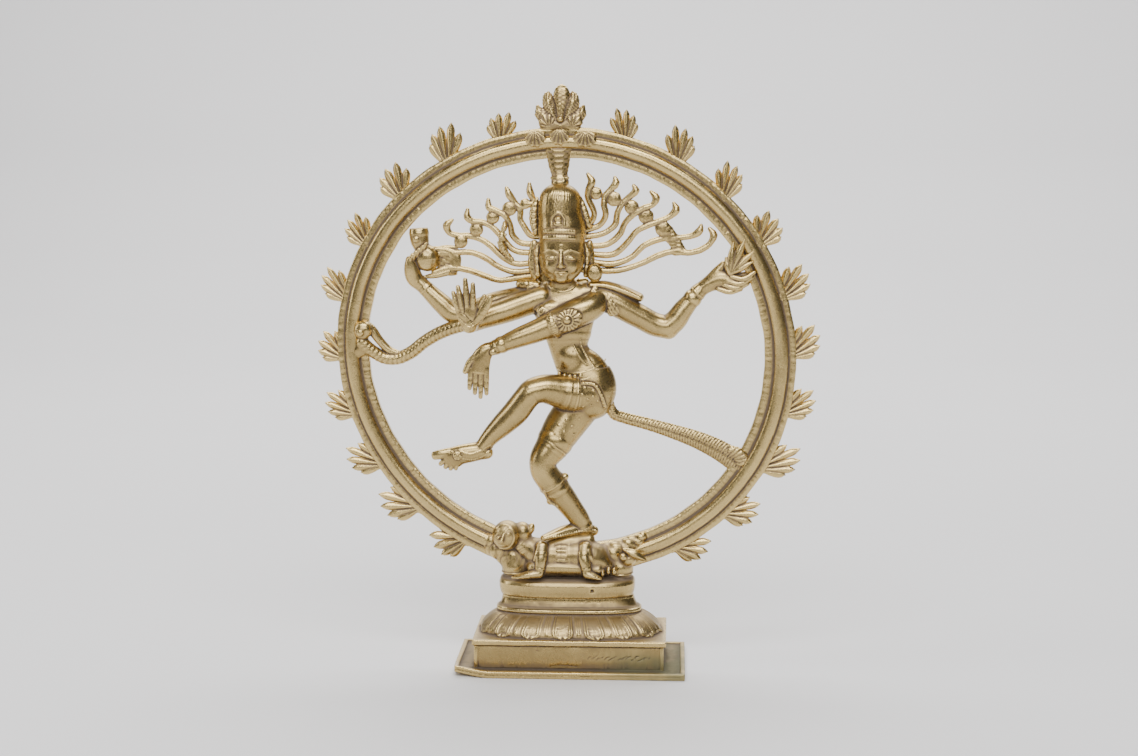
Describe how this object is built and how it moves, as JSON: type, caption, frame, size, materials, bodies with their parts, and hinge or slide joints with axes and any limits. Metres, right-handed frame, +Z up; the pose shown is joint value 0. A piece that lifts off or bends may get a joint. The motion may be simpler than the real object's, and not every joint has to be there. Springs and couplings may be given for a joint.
{
  "type": "shiva figure",
  "caption": "Cast brass figure of a many-armed dancing lord with streaming hair inside a ring of flames, on a dwarf, an oval seat and a stepped lotus pedestal.",
  "frame": {"origin": "middle of the rectangular foot plate's flat underside", "axes": "+Z up; the figure's front faces -Y, and +X is on the viewer's right when the front is looked at"},
  "size_m": [0.3477, 0.084, 0.3988],
  "materials": {
    "pedestal_brass": "aged, semi-matte, with dull green-grey tarnish",
    "figure_brass": "aged, chased, rubbed bright on the high places and brown in the hollows"
  },
  "bodies": {
    "root": {"lotus_pedestal": "pedestal_brass", "dancing_figure": "figure_brass"}
  },
  "joints": []
}
